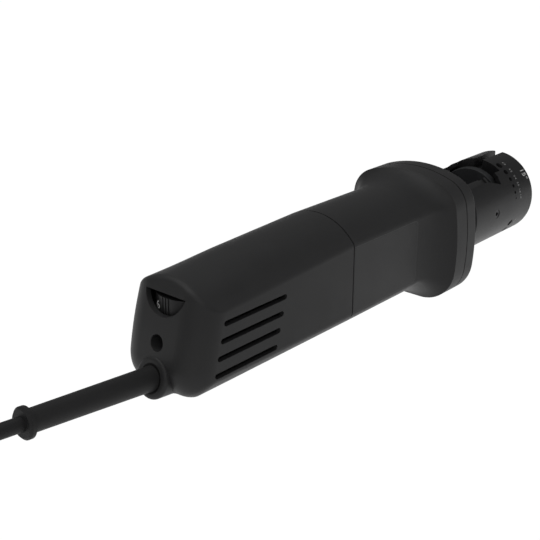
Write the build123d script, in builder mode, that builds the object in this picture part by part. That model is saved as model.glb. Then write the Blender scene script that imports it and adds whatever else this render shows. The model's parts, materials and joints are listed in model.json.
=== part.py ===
from build123d import *

import os
from math import cos, degrees, radians, sin, sqrt, tan

# A tungsten electrode grinder: a slim motor barrel whose shaft turns a diamond wheel inside a tube head.
# Electrodes are pushed through the angled bores of the head's front block against the wheel's face.
# +X runs along the axis to the head, +Y to the tool's left, +Z up. The origin is under the middle of the
# tool, on the surface that the flange stands on. Sizes are millimetres.

os.makedirs("parts", exist_ok=True)

# Grinding head
head_radius = 24.0
head_length = 63.5
head_edge = 0.6
block_length = 23.6
slot_width = 5.0
slot_depth = 6.0
window_land = 1.5
window_angle = 44.0
window_step = 5.9
window_block_angle = 35.5
window_wide_angle = 54.0
window_wide_length = 19.8
window_wide_set = 1.3
guide_station = 19.5
guide_sizes = (4.0, 3.2, 2.4, 2.0, 1.6, 1.0)
guide_angles = (15.0, 18.0, 22.5, 30.0)
guide_first = 27.7
guide_step = 5.3
guide_step_per_size = 2.2
guide_clearance = 0.1
set_screw_radius = 2.5
set_screw_set = 5.0
set_screw_socket = 2.0
set_screw_angles = (90, 180, 270)
screw_pocket_room = 1.5
screw_pocket_end = 2.0

# Neck, front plate and flange
neck_radius = 21.5
neck_gap = 17.5
neck_reach = 27.5
neck_hollow = 23.0
neck_hollow_radius = 18.5
neck_window_angle = 33.0
neck_groove = 1.2
plate_thickness = 9.0
plate_edge = 1.2
flange_width = 68.0
flange_crown = 8.0
flange_bulge = 3.5
flange_corner = 16.0
flange_foot_corner = 20.0
flange_rim = 9.5
seam_gap = 0.6
seam_depth = 1.0
plate_screw_set = 12.0
plate_screw_radius = 2.1
plate_screw_head = 3.8
plate_screw_grip = 8.0
shaft_room = 1.5

# Motor barrel and rear cover
barrel_radius = 29.0
side_flat = 23.0
flat_blend = 3.5
wall = 2.5
housing_length = 83.5
flare_length = 20.0
flare_steps = ((0.4, 0.1), (0.75, 0.42))
cover_length = 109.5
cover_end_radius = 27.0
rear_slant = 16.0
rear_set = 6.9
rear_bow = 160.0
rear_bow_height = 7.0
rear_corner = 13.0
fan_chamber = 27.5
fan_chamber_set = 1.0
cup_wall = 2.0
cup_vents = 4
cup_vent_radius = 2.5
cup_boss_wall = 1.0
vent_count = 4
vent_length = 39.0
vent_width = 2.5
vent_pitch = 7.3
vent_drop = 3.2
vent_set = 33.3
cover_screw_drop = 2.0
cover_screw_recess = 3.6
cover_screw_depth = 26.0
cover_screw_radius = 1.95
cover_screw_grip = 12.0
cover_screw_head = 2.4
screw_cross_length = 4.0
screw_cross_width = 0.9
screw_cross_depth = 1.4
screw_tube_wall = 1.9

# Rotor, wheel and bearings
shaft_radius = 5.0
tip_radius = 4.0
front_journal = 6.0
rear_journal = 3.5
journal_set = 1.0
journal_reach = 2.0
shaft_shoulder = 1.0
tip_thread_depth = 12.0
core_radius = 14.0
core_length = 42.0
core_set = 26.0
core_slots = 12
core_tooth = 0.8
core_slot_depth = 6.0
core_slot_width = 2.4
core_slot_mouth = 1.2
air_gap = 0.5
winding_length = 8.5
winding_radius = 12.8
winding_edge = 2.0
commutator_radius = 10.0
commutator_length = 14.0
commutator_bars = 24
commutator_gap = 12.0
commutator_cut = 1.0
commutator_cut_width = 0.5
commutator_riser = 2.0
fan_radius = 25.0
fan_width = 6.5
fan_gap = 2.5
fan_blades = 14
fan_blade_thickness = 1.4
fan_blade_lean = 25.0
fan_blade_set = 1.0
fan_back = 1.6
fan_hub_wall = 3.0
wheel_radius = 20.0
wheel_thickness = 4.5
wheel_gap = 3.6
wheel_band = 7.0
wheel_relief = 0.4
flange_hub = 9.0
flange_length = 3.3
flange_hub_step = 2.0
flange_seat = 2.0
flange_hub_edge = 0.5
washer_radius = 7.0
washer_thickness = 1.2
wheel_screw_radius = 2.5
wheel_screw_head = 4.6
wheel_screw_height = 2.8
wheel_screw_edge = 0.9
wheel_screw_grip = 10.0
wheel_screw_socket = 1.7
wheel_screw_socket_depth = 1.8
front_bearing_radius = 14.0
front_bearing_width = 8.0
nose_bearing_radius = 13.0
nose_bearing_width = 8.0
bearing_nut_width = 5.5
nut_room = 1.0
nut_holes = 4
nut_hole_radius = 1.2
nut_hole_depth = 2.5
rear_bearing_radius = 9.5
rear_bearing_width = 6.0
rear_bearing_gap = 3.0
boot_wall = 1.2
boot_set = 0.5

# Stator and brush gear
stator_flat = 18.0
coil_window = 2.2
coil_ring = 17.3
coil_angle = 50.0
coil_overhang = 6.0
coil_end_angle = 8.0
baffle_thickness = 2.0
baffle_room = 5.0
brush_width = 6.0
brush_length = 9.0
brush_reach = 9.0
holder_wall = 1.0
holder_gap = 1.0
spring_strip = 0.5

# Speed control
dial_radius = 15.0
dial_height = 8.0
dial_pads = 8
dial_pad_turn = 22.1
dial_ribs = 3
dial_rib_pitch = 1.7
dial_rib_width = 0.85
dial_rib_depth = 0.4
dial_top = 16.2
dial_window_top = 18.2
dial_recess = 0.8
dial_pin = 2.0
dial_window_radius = 11.9
dial_window_height = 9.3
module_length = 25.0
module_width = 26.0
module_height = 4.0
module_corner = 2.0

# Slide switch
slider_length = 26.0
slider_width = 13.0
slider_height = 4.0
slider_neck_length = 8.0
slider_neck_width = 7.0
slider_foot_lip = 3.0
slider_foot_side = 2.0
slider_corner = 3.0
slider_set = 27.5
slider_edge = 1.2
slider_grooves = 5
slider_groove = 1.2
slider_groove_pitch = 3.2
switch_travel = 8.0
rod_thickness = 1.2
rod_width = 6.0
rod_slot_room = 0.2
tab_length = 2.5
tab_depth = 4.0
tab_side = 0.5
switch_length = 30.0
switch_width = 10.5
switch_height = 14.0
switch_corner = 1.0
capacitor_length = 26.0
capacitor_edge = 1.5
capacitor_corner = 2.0

# Mains lead
cord_diameter = 6.2
gland_radius = 9.0
gland_round = 1.6
gland_drop = 16.6
gland_depth = 9.0
sleeve_rise = 5.7
sleeve_length = 63.5
sleeve_radius = 5.35
sleeve_end_radius = 4.8
sleeve_bead = 6.5
sleeve_bead_width = 3.6
sleeve_bead_edge = 1.0
sleeve_collar = 7.4
sleeve_collar_width = 3.0
cord_tail_length = 34.0
clamp_width = 24.0
clamp_length = 8.0
clamp_height = 5.0
clamp_set = 6.0
clamp_screw_set = 4.0
clamp_screw_radius = 1.4
clamp_screw_head = 1.6
clamp_screw_grip = 3.0
hank_gap = 0.6
hank_radius = 33.0
hank_run = 105.0
hank_inner_run = 4
hank_last_run = 8
hank_x = -306.0
cord_sides = 6
arc_share = 0.45
tie_width = 10.0
tie_thickness = 1.2
tie_corner = 4.0
plug_length = 38.0
plug_width = 35.0
plug_thickness = 26.0
plug_corner = 10.4
plug_neck_width = 17.5
plug_neck_thickness = 13.0
plug_neck_corner = 5.2
plug_sleeve_length = 28.0
plug_sleeve_radius = 5.5
plug_sleeve_wall = 0.5
plug_side = 26.0
pin_radius = 2.4
pin_length = 19.0
pin_spacing = 18.6

# Clearances
running_fit = 0.05
seat_fit = 0.02
head_fit = 0.1
slide_fit = 0.4
part_gap = 0.3
screw_hole_room = 1.0
overcut = 1.0
bore_overcut = 3.0

# Stations along the axis, from the head's front face back
overall_length = head_length + neck_gap + plate_thickness + housing_length + cover_length
axis_z = flange_width / 2
x_front = overall_length / 2
x_block = x_front - block_length
x_head = x_front - head_length
x_plate = x_head - neck_gap
x_neck = x_head + neck_reach
x_nut = x_neck - neck_hollow
x_seam = x_plate - plate_thickness
x_rim = x_seam - flange_rim
x_flare = x_rim - flare_length
x_cover = x_seam - housing_length
x_rear = x_cover - cover_length
x_wheel = x_block - wheel_gap - wheel_thickness
x_core = x_seam - core_set - core_length
x_commutator = x_core - commutator_gap - commutator_length
x_rear_bearing = x_commutator - rear_bearing_gap - rear_bearing_width
x_cup = x_rear_bearing - boot_wall - part_gap
x_cup_rear = x_cup - wall
x_fan = x_seam - fan_gap - fan_width
x_slider = x_cover + slider_set
head_bore = neck_radius + head_fit
inner_radius = barrel_radius - wall
inner_flat = side_flat - wall
plate_screw_offset = flange_width / 2 - plate_screw_set


def section_plane(x):
    """Plane square to the axis at station x: its x is +Y and its y is +Z."""
    return Plane(origin=(x, 0, axis_z), x_dir=(0, 1, 0), z_dir=(1, 0, 0))


def head_plane(angle):
    """Plane on the head's skin, angle degrees from the top towards the tool's right."""
    out = (0, -sin(radians(angle)), cos(radians(angle)))
    skin = (0, head_radius * out[1], axis_z + head_radius * out[2])
    return Plane(origin=skin, x_dir=(1, 0, 0), z_dir=out)


def body_section(x, radius, drop, half_width):
    """Sketch a round body whose sides are cut flat, its centre drop below the axis."""
    with BuildSketch(section_plane(x)) as sketch:
        with Locations((0, -drop)):
            Circle(radius)
            Rectangle(2 * half_width, 3 * radius, mode=Mode.INTERSECT)
        fillet(sketch.vertices(), flat_blend)
    return sketch.sketch


def flange_section(x, inset=0):
    """Sketch the flange's outline, a rounded square with bowed sides, a crowned top and a flat foot."""
    half = flange_width / 2 - inset
    waist = half - flange_bulge
    shoulder = half - flange_crown
    middle = (shoulder - half) / 2
    with BuildSketch(section_plane(x)) as sketch:
        with BuildLine():
            ThreePointArc((waist, shoulder), (0, half), (-waist, shoulder))
            ThreePointArc((-waist, shoulder), (-half, middle), (-waist, -half))
            Line((-waist, -half), (waist, -half))
            ThreePointArc((waist, -half), (half, middle), (waist, shoulder))
        make_face()
        corners = sketch.vertices().group_by(Axis.Y)
        fillet(corners[-1], flange_corner - inset)
        fillet(sketch.vertices().group_by(Axis.Y)[0], flange_foot_corner - inset)
    return sketch.sketch


def flare_section(x, share):
    """Sketch an outline that is a share of the way from the barrel's section to the flange's."""
    def between(barrel, flange):
        return barrel + share * (flange - barrel)

    half = flange_width / 2
    barrel_corner = sqrt(barrel_radius**2 - side_flat**2)
    waist = between(side_flat, half - flange_bulge)
    side = between(side_flat, half)
    high = between(barrel_radius, half)
    shoulder = between(barrel_corner, half - flange_crown)
    foot = between(barrel_corner, half)
    middle = (shoulder - foot) / 2
    with BuildSketch(section_plane(x)) as sketch:
        with BuildLine():
            ThreePointArc((waist, shoulder), (0, high), (-waist, shoulder))
            ThreePointArc((-waist, shoulder), (-side, middle), (-waist, -foot))
            ThreePointArc((-waist, -foot), (0, -high), (waist, -foot))
            ThreePointArc((waist, -foot), (side, middle), (waist, shoulder))
        make_face()
        fillet(sketch.vertices().group_by(Axis.Y)[-1], between(flat_blend, flange_corner))
        fillet(sketch.vertices().group_by(Axis.Y)[0], between(flat_blend, flange_foot_corner))
    return sketch.sketch


def cover_section(x, inset):
    """Sketch the rear cover's section at station x, drawn in by inset. Its underside stays level."""
    share = (x_cover - x) / cover_length
    drop = (barrel_radius - cover_end_radius) * share
    return body_section(x, barrel_radius - drop - inset, drop, side_flat - inset)


def window_wedge(x, half_angle):
    """Sketch a wedge that opens upwards from the axis, by a half angle to each side."""
    side = 2 * head_radius * tan(radians(half_angle))
    with BuildSketch(section_plane(x)) as sketch:
        with BuildLine():
            Polyline((0, 0), (side, 2 * head_radius), (-side, 2 * head_radius), close=True)
        make_face()
    return sketch.sketch


def disc(x, radius, length, mode=Mode.ADD):
    """Cylinder on the axis from station x forward."""
    with BuildSketch(section_plane(x)) as profile:
        Circle(radius)
    extrude(profile.sketch, amount=length, mode=mode)


def turned(points):
    """Turn an outline of (station, radius) points about the axis."""
    with BuildSketch(Plane(origin=(0, 0, axis_z), x_dir=(1, 0, 0), z_dir=(0, -1, 0))) as profile:
        with BuildLine():
            Polyline(points, close=True)
        make_face()
    revolve(profile.sketch, axis=Axis((0, 0, axis_z), (1, 0, 0)))


def save(builder, name):
    """Label the finished piece and write it."""
    builder.part.label = name
    export_step(builder.part, f"parts/{name}.step")


rear_plane = Plane(
    origin=(x_rear + rear_set, 0, axis_z),
    x_dir=(0, 1, 0),
    z_dir=(-cos(radians(rear_slant)), 0, sin(radians(rear_slant))),
)


def rear_face(height):
    """Station of the slanted rear face at a height above the axis."""
    return x_rear + rear_set + height * tan(radians(rear_slant))


# Motor housing: barrel, flare, flange, and the cup inside the cover that carries the rear bearing
cup_inset = wall + part_gap
cup_vent_ring = (rear_bearing_radius + inner_flat) / 2 + cup_wall
x_screw_seat = rear_face(-cover_screw_drop) + cover_screw_depth
x_boss = x_screw_seat + wall
rod_centre = (stator_flat + inner_flat) / 2
slider_slot = slider_neck_length + switch_travel + 2 * slide_fit
with BuildPart() as motor_housing:
    extrude(body_section(x_cover, barrel_radius - seam_depth, 0, side_flat - seam_depth), amount=seam_gap)
    extrude(body_section(x_cover + seam_gap, barrel_radius, 0, side_flat), amount=x_flare - x_cover - seam_gap)
    flare = [body_section(x_flare, barrel_radius, 0, side_flat)]
    flare += [flare_section(x_flare + place * flare_length, share) for place, share in flare_steps]
    flare += [flange_section(x_rim)]
    loft(flare)
    extrude(flange_section(x_rim), amount=flange_rim)
    extrude(body_section(x_cover, inner_radius, 0, inner_flat), amount=x_rim - x_cover, mode=Mode.SUBTRACT)
    fan_chamber_length = fan_chamber_set + flange_rim + overcut
    disc(x_rim - fan_chamber_set, fan_chamber, fan_chamber_length, mode=Mode.SUBTRACT)
    with BuildSketch(section_plane(x_seam)):
        with GridLocations(2 * plate_screw_offset, 2 * plate_screw_offset, 2, 2):
            Circle(plate_screw_radius + seat_fit)
    extrude(amount=-plate_screw_grip - screw_hole_room, mode=Mode.SUBTRACT)
    loft([cover_section(x_cup_rear, cup_inset), cover_section(x_cover, cup_inset)], ruled=True)
    extrude(body_section(x_cover, barrel_radius - wall / 2, 0, side_flat - wall / 2), amount=wall)
    cup_inside = [cover_section(x, cup_inset + cup_wall) for x in (x_cup, x_cover + 2 * wall)]
    loft(cup_inside, ruled=True, mode=Mode.SUBTRACT)
    disc(x_cup, rear_bearing_radius + boot_wall + seat_fit + cup_wall, rear_bearing_width)
    disc(x_cup, rear_bearing_radius + boot_wall + seat_fit, rear_bearing_width, mode=Mode.SUBTRACT)
    with BuildSketch(section_plane(x_cup_rear)):
        with PolarLocations(cup_vent_ring, cup_vents, start_angle=45):
            Circle(cup_vent_radius)
    extrude(amount=wall, mode=Mode.SUBTRACT)
    with BuildSketch(section_plane(x_cup_rear)):
        with Locations((0, -cover_screw_drop)):
            Circle(cover_screw_recess + cup_boss_wall)
    extrude(amount=x_boss - x_cup_rear)
    with BuildSketch(section_plane(x_boss)):
        with Locations((0, -cover_screw_drop)):
            Circle(cover_screw_radius + seat_fit)
    extrude(amount=cover_screw_grip + 2 * screw_hole_room, mode=Mode.SUBTRACT)
    with BuildSketch(section_plane(x_cup_rear - overcut)):
        with Locations((rod_centre, 0)):
            Rectangle(inner_flat - stator_flat + rod_slot_room, rod_width + 2 * slide_fit)
    extrude(amount=x_cover + 2 * wall - x_cup_rear, mode=Mode.SUBTRACT)
    with BuildSketch(Plane(origin=(x_slider, 0, axis_z), x_dir=(1, 0, 0), z_dir=(0, 1, 0))):
        with Locations((switch_travel / 2, 0)):
            Rectangle(slider_slot, slider_neck_width + 2 * slide_fit)
    extrude(amount=barrel_radius, mode=Mode.SUBTRACT)
save(motor_housing, "motor_housing")

# Slide switch on the left flat: a ribbed pad outside, a foot inside, and a flat rod back to the switch
foot_length = slider_neck_length + 2 * slider_foot_lip
pad_base = side_flat + part_gap
foot_top = inner_flat - part_gap
rod_low = rod_centre - rod_thickness / 2
left_plane = Plane(origin=(x_slider, pad_base, axis_z), x_dir=(1, 0, 0), z_dir=(0, 1, 0))
with BuildPart() as switch_slider:
    with BuildSketch(left_plane):
        RectangleRounded(slider_length, slider_width, slider_corner)
    extrude(amount=slider_height)
    chamfer(switch_slider.faces().sort_by(Axis.Y)[-1].edges(), slider_edge)
    with BuildSketch(left_plane.offset(slider_height)):
        with GridLocations(slider_groove_pitch, 1, slider_grooves, 1):
            Rectangle(slider_groove, slider_width - 2 * slider_edge)
    extrude(amount=-slider_groove, mode=Mode.SUBTRACT)
    with BuildSketch(left_plane):
        Rectangle(slider_neck_length, slider_neck_width)
    extrude(amount=rod_low - pad_base)
    with BuildSketch(left_plane.offset(foot_top - pad_base)):
        Rectangle(foot_length, slider_neck_width + 2 * slider_foot_side)
    extrude(amount=rod_low - foot_top)
save(switch_slider, "switch_slider")

x_tab = x_cup_rear - part_gap - switch_length / 2
x_foot = x_slider - foot_length / 2
rod_plane = Plane(origin=(0, rod_low, axis_z), x_dir=(1, 0, 0), z_dir=(0, 1, 0))
with BuildPart() as switch_rod:
    with BuildSketch(rod_plane):
        with Locations(((x_tab + x_foot) / 2, 0)):
            Rectangle(x_foot - x_tab + tab_length, rod_width)
    extrude(amount=rod_thickness)
    with BuildSketch(rod_plane):
        with Locations((x_tab, 0)):
            Rectangle(tab_length, rod_width - 2 * tab_side)
    extrude(amount=-tab_depth)
    with BuildSketch(rod_plane):
        with Locations((x_foot + tab_length / 4, 0)):
            Rectangle(tab_length / 2, rod_width)
    extrude(amount=rod_thickness, mode=Mode.SUBTRACT)
save(switch_rod, "switch_rod")

switch_outer = rod_low - 2 * slide_fit
with BuildPart() as switch_body:
    with BuildSketch(section_plane(x_cup_rear - part_gap)):
        with Locations((switch_outer - switch_width / 2, 0)):
            RectangleRounded(switch_width, switch_height, switch_corner)
    extrude(amount=-switch_length)
    with BuildSketch(rod_plane.offset(switch_outer - rod_low)):
        with Locations((x_tab + switch_travel / 2, 0)):
            Rectangle(tab_length + switch_travel + 2 * slide_fit, rod_width)
    extrude(amount=-tab_depth, mode=Mode.SUBTRACT)
save(switch_body, "switch_body")

with BuildPart() as suppression_capacitor:
    with BuildSketch(section_plane(x_cup_rear - part_gap)):
        with Locations((switch_width / 2 - switch_outer, 0)):
            RectangleRounded(switch_width, switch_height, capacitor_corner)
    extrude(amount=-capacitor_length)
    chamfer(suppression_capacitor.faces().sort_by(Axis.X)[0].edges(), capacitor_edge)
save(suppression_capacitor, "suppression_capacitor")

# Front plate with the neck that carries the head
with BuildPart() as front_plate:
    extrude(flange_section(x_seam, seam_depth), amount=seam_gap)
    extrude(flange_section(x_seam + seam_gap), amount=plate_thickness - seam_gap)
    fillet(front_plate.faces().sort_by(Axis.X)[-1].edges(), plate_edge)
    disc(x_plate, neck_radius, x_neck - x_plate)
    chamfer(front_plate.faces().sort_by(Axis.X)[-1].edges(), head_edge)
    disc(x_seam, front_bearing_radius + seat_fit, front_bearing_width, mode=Mode.SUBTRACT)
    disc(x_seam, front_journal + shaft_room, x_neck - x_seam, mode=Mode.SUBTRACT)
    nose_depth = nose_bearing_width + bearing_nut_width + part_gap
    disc(x_nut - nose_depth, nose_bearing_radius + seat_fit, nose_depth, mode=Mode.SUBTRACT)
    disc(x_nut, neck_hollow_radius, neck_hollow, mode=Mode.SUBTRACT)
    extrude(window_wedge(x_nut, neck_window_angle), amount=neck_hollow, mode=Mode.SUBTRACT)
    x_set_screw = x_neck - set_screw_set
    with BuildSketch(section_plane(x_set_screw - set_screw_radius - part_gap)):
        Circle(neck_radius + overcut)
        Circle(neck_radius - neck_groove, mode=Mode.SUBTRACT)
    extrude(amount=2 * (set_screw_radius + part_gap), mode=Mode.SUBTRACT)
    with Locations(section_plane(x_plate)):
        with GridLocations(2 * plate_screw_offset, 2 * plate_screw_offset, 2, 2):
            CounterBoreHole(plate_screw_radius + seat_fit, plate_screw_head + part_gap, plate_screw_head)
save(front_plate, "front_plate")

with BuildPart() as front_plate_screws:
    with BuildSketch(section_plane(x_plate)):
        with GridLocations(2 * plate_screw_offset, 2 * plate_screw_offset, 2, 2):
            Circle(plate_screw_head)
    extrude(amount=-plate_screw_head)
    with BuildSketch(section_plane(x_plate)):
        with GridLocations(2 * plate_screw_offset, 2 * plate_screw_offset, 2, 2):
            RegularPolygon(plate_screw_radius, 6)
    extrude(amount=-plate_screw_head / 2, mode=Mode.SUBTRACT)
    with BuildSketch(section_plane(x_plate - plate_screw_head)):
        with GridLocations(2 * plate_screw_offset, 2 * plate_screw_offset, 2, 2):
            Circle(plate_screw_radius)
    extrude(amount=plate_screw_head - plate_thickness - plate_screw_grip)
save(front_plate_screws, "front_plate_screws")

# Grinding head: tube, guide block, window, top slot and four rows of guide bores
screw_pocket = washer_radius + screw_pocket_room
screw_pocket_depth = washer_thickness + wheel_screw_height + screw_pocket_end
x_guide = x_front - guide_station


def guide_positions():
    """Angle from the top of each guide bore in a row, spaced wider where the bores are larger."""
    angle = guide_first
    places = []
    for number, size in enumerate(guide_sizes):
        if number:
            angle += guide_step + guide_step_per_size * (size + guide_sizes[number - 1]) / 2
        places.append((angle, size))
    return places


with BuildPart() as head_barrel:
    disc(x_head, head_radius, head_length)
    chamfer(head_barrel.edges().filter_by(GeomType.CIRCLE), head_edge)
    disc(x_head, head_bore, head_length - block_length, mode=Mode.SUBTRACT)
    disc(x_block, screw_pocket, screw_pocket_depth, mode=Mode.SUBTRACT)
    x_window = x_head + window_land
    x_step = x_block - window_step
    extrude(window_wedge(x_window, window_angle), amount=x_step - x_window, mode=Mode.SUBTRACT)
    extrude(window_wedge(x_step, window_block_angle), amount=window_step, mode=Mode.SUBTRACT)
    side_angle = (window_angle + window_wide_angle) / 2
    with BuildSketch(head_plane(side_angle)):
        wide = head_radius * sin(radians(side_angle - window_wide_angle))
        edge = head_radius * sin(radians(side_angle - window_block_angle))
        x_wide = x_step - window_wide_set
        with BuildLine():
            Polyline((x_wide - window_wide_length, edge), (x_wide, wide), (x_step, edge), close=True)
        make_face()
    extrude(amount=head_radius - head_bore + 2 * overcut, both=True, mode=Mode.SUBTRACT)
    with BuildSketch(section_plane(x_block)):
        with Locations((0, head_radius)):
            Rectangle(slot_width, 2 * slot_depth)
    extrude(amount=block_length, mode=Mode.SUBTRACT)
    for row, tilt in enumerate(guide_angles):
        lean = radians(tilt)
        for angle, size in guide_positions():
            skin = head_plane(angle + 90 * row)
            mouth = skin.origin + Vector(x_guide, 0, 0)
            inward = -cos(lean) * skin.z_dir - sin(lean) * Vector(1, 0, 0)
            bore_radius = (size + guide_clearance) / 2
            reach = (block_length - guide_station) / sin(lean) + bore_radius / tan(lean) + overcut
            with BuildSketch(Plane(origin=mouth - bore_overcut * inward, z_dir=inward)):
                Circle(bore_radius)
            extrude(amount=bore_overcut + reach, mode=Mode.SUBTRACT)
    for angle in set_screw_angles:
        with BuildSketch(head_plane(angle)):
            with Locations((x_set_screw, 0)):
                Circle(set_screw_radius + running_fit)
        extrude(amount=head_bore - head_radius - overcut, mode=Mode.SUBTRACT)
save(head_barrel, "head_barrel")

with BuildPart() as head_set_screws:
    for angle in set_screw_angles:
        with BuildSketch(head_plane(angle).offset(-part_gap)):
            with Locations((x_set_screw, 0)):
                Circle(set_screw_radius)
        extrude(amount=neck_radius - neck_groove - head_radius + 2 * part_gap)
        with BuildSketch(head_plane(angle).offset(-part_gap)):
            with Locations((x_set_screw, 0)):
                RegularPolygon(set_screw_radius / 2, 6)
        extrude(amount=-set_screw_socket, mode=Mode.SUBTRACT)
save(head_set_screws, "head_set_screws")

# Rotor: stepped shaft, core, windings, commutator, fan and wheel stack
x_journal = x_fan - journal_set
x_shoulder = x_commutator - shaft_shoulder
x_nose = x_nut - nose_depth
x_tip = x_wheel - flange_length
tip_end = x_wheel + wheel_thickness - 2 * part_gap
with BuildPart() as armature_shaft:
    turned(
        [
            (x_rear_bearing, 0),
            (x_rear_bearing, rear_journal),
            (x_shoulder, rear_journal),
            (x_shoulder, shaft_radius),
            (x_journal, shaft_radius),
            (x_journal, front_journal),
            (x_plate + journal_reach, front_journal),
            (x_nose, front_journal - part_gap),
            (x_nose, shaft_radius),
            (x_tip, shaft_radius),
            (x_tip, tip_radius),
            (tip_end, tip_radius),
            (tip_end, 0),
        ]
    )
    disc(tip_end - tip_thread_depth, wheel_screw_radius + seat_fit, tip_thread_depth, mode=Mode.SUBTRACT)
save(armature_shaft, "armature_shaft")

with BuildPart() as armature_core:
    with BuildSketch(section_plane(x_core)):
        Circle(core_radius)
        Circle(shaft_radius + seat_fit, mode=Mode.SUBTRACT)
        with PolarLocations(core_radius - core_tooth - core_slot_depth / 2, core_slots):
            Rectangle(core_slot_depth, core_slot_width, mode=Mode.SUBTRACT)
        with PolarLocations(core_radius, core_slots):
            Rectangle(4 * core_tooth, core_slot_mouth, mode=Mode.SUBTRACT)
    extrude(amount=core_length)
save(armature_core, "armature_core")

with BuildPart() as armature_windings:
    for x in (x_core - winding_length, x_core + core_length):
        winding_bore = shaft_radius + 4 * running_fit
        turned(
            [
                (x, winding_bore),
                (x, winding_radius - winding_edge),
                (x + winding_edge, winding_radius),
                (x + winding_length - winding_edge, winding_radius),
                (x + winding_length, winding_radius - winding_edge),
                (x + winding_length, winding_bore),
            ]
        )
save(armature_windings, "armature_windings")

with BuildPart() as commutator:
    disc(x_commutator, commutator_radius, commutator_length)
    disc(x_commutator, shaft_radius + seat_fit, commutator_length, mode=Mode.SUBTRACT)
    with BuildSketch(section_plane(x_commutator)):
        with PolarLocations(commutator_radius, commutator_bars):
            Rectangle(2 * commutator_cut, commutator_cut_width)
    extrude(amount=commutator_length - commutator_riser, mode=Mode.SUBTRACT)
save(commutator, "commutator")

fan_hub = front_journal + fan_hub_wall
fan_blade_length = fan_radius - fan_hub - fan_blade_set
fan_blade_centre = (fan_radius + fan_hub + fan_blade_set) / 2
with BuildPart() as cooling_fan:
    disc(x_fan, fan_radius, fan_back)
    disc(x_fan, fan_hub, fan_width)
    with BuildSketch(section_plane(x_fan)):
        with PolarLocations(fan_blade_centre, fan_blades):
            Rectangle(fan_blade_length, fan_blade_thickness, rotation=fan_blade_lean)
    extrude(amount=fan_width)
    disc(x_fan, front_journal + seat_fit, fan_width, mode=Mode.SUBTRACT)
save(cooling_fan, "cooling_fan")

with BuildPart() as wheel_flange:
    turned(
        [
            (x_tip, tip_radius + seat_fit),
            (x_tip, flange_hub - flange_hub_step),
            (x_wheel - flange_seat - flange_hub_edge, flange_hub - flange_hub_step),
            (x_wheel - flange_seat, flange_hub),
            (x_wheel, flange_hub),
            (x_wheel, tip_radius + seat_fit),
        ]
    )
save(wheel_flange, "wheel_flange")

with BuildPart() as diamond_wheel:
    x_face = x_wheel + wheel_thickness
    band = wheel_radius - wheel_band
    turned(
        [
            (x_wheel, tip_radius + seat_fit),
            (x_wheel, wheel_radius - wheel_relief),
            (x_wheel + wheel_relief, wheel_radius),
            (x_face - wheel_relief, wheel_radius),
            (x_face, wheel_radius - wheel_relief),
            (x_face, band),
            (x_face - wheel_relief, band - wheel_relief),
            (x_face - wheel_relief, tip_radius + seat_fit),
        ]
    )
save(diamond_wheel, "diamond_wheel")

x_washer = x_face - wheel_relief
with BuildPart() as wheel_washer:
    disc(x_washer, washer_radius, washer_thickness)
    disc(x_washer, wheel_screw_radius + seat_fit, washer_thickness, mode=Mode.SUBTRACT)
save(wheel_washer, "wheel_washer")

with BuildPart() as wheel_screw:
    disc(x_washer + washer_thickness, wheel_screw_head, wheel_screw_height)
    chamfer(wheel_screw.faces().sort_by(Axis.X)[-1].edges(), wheel_screw_edge)
    with BuildSketch(section_plane(x_washer + washer_thickness + wheel_screw_height)):
        RegularPolygon(wheel_screw_socket, 6)
    extrude(amount=-wheel_screw_socket_depth, mode=Mode.SUBTRACT)
    x_screw_end = tip_end - wheel_screw_grip
    disc(x_screw_end, wheel_screw_radius, x_washer + washer_thickness - x_screw_end)
save(wheel_screw, "wheel_screw")


def bearing(x, outer, bore, width):
    """Sealed ball bearing, as one ring."""
    disc(x, outer, width)
    disc(x, bore, width, mode=Mode.SUBTRACT)


with BuildPart() as front_bearing:
    bearing(x_seam, front_bearing_radius, front_journal + running_fit, front_bearing_width)
save(front_bearing, "front_bearing")

with BuildPart() as nose_bearing:
    bearing(x_nose, nose_bearing_radius, shaft_radius + running_fit, nose_bearing_width)
save(nose_bearing, "nose_bearing")

with BuildPart() as rear_bearing:
    bearing(x_rear_bearing, rear_bearing_radius, rear_journal + running_fit, rear_bearing_width)
save(rear_bearing, "rear_bearing")

with BuildPart() as bearing_nut:
    disc(x_nut - bearing_nut_width, nose_bearing_radius, bearing_nut_width)
    disc(x_nut - bearing_nut_width, shaft_radius + nut_room, bearing_nut_width, mode=Mode.SUBTRACT)
    with BuildSketch(section_plane(x_nut)):
        with PolarLocations((nose_bearing_radius + shaft_radius + nut_room) / 2, nut_holes):
            Circle(nut_hole_radius)
    extrude(amount=-nut_hole_depth, mode=Mode.SUBTRACT)
save(bearing_nut, "bearing_nut")

with BuildPart() as rear_bearing_boot:
    boot_length = rear_bearing_width + boot_wall - boot_set
    disc(x_rear_bearing - boot_wall, rear_bearing_radius + boot_wall, boot_length)
    disc(x_rear_bearing, rear_bearing_radius + seat_fit, rear_bearing_width, mode=Mode.SUBTRACT)
save(rear_bearing_boot, "rear_bearing_boot")

# Stator, field coils and the ring that guides the fan's air
stator_bore = core_radius + air_gap
with BuildPart() as field_stator:
    extrude(body_section(x_core, inner_radius - part_gap, 0, stator_flat), amount=core_length)
    disc(x_core, stator_bore, core_length, mode=Mode.SUBTRACT)
    with BuildSketch(section_plane(x_core)):
        for pole in (0, 180):
            for side in (-coil_angle, coil_angle):
                with PolarLocations(coil_ring, 1, start_angle=90 + pole + side):
                    Circle(coil_window)
    extrude(amount=core_length, mode=Mode.SUBTRACT)
save(field_stator, "field_stator")

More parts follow.
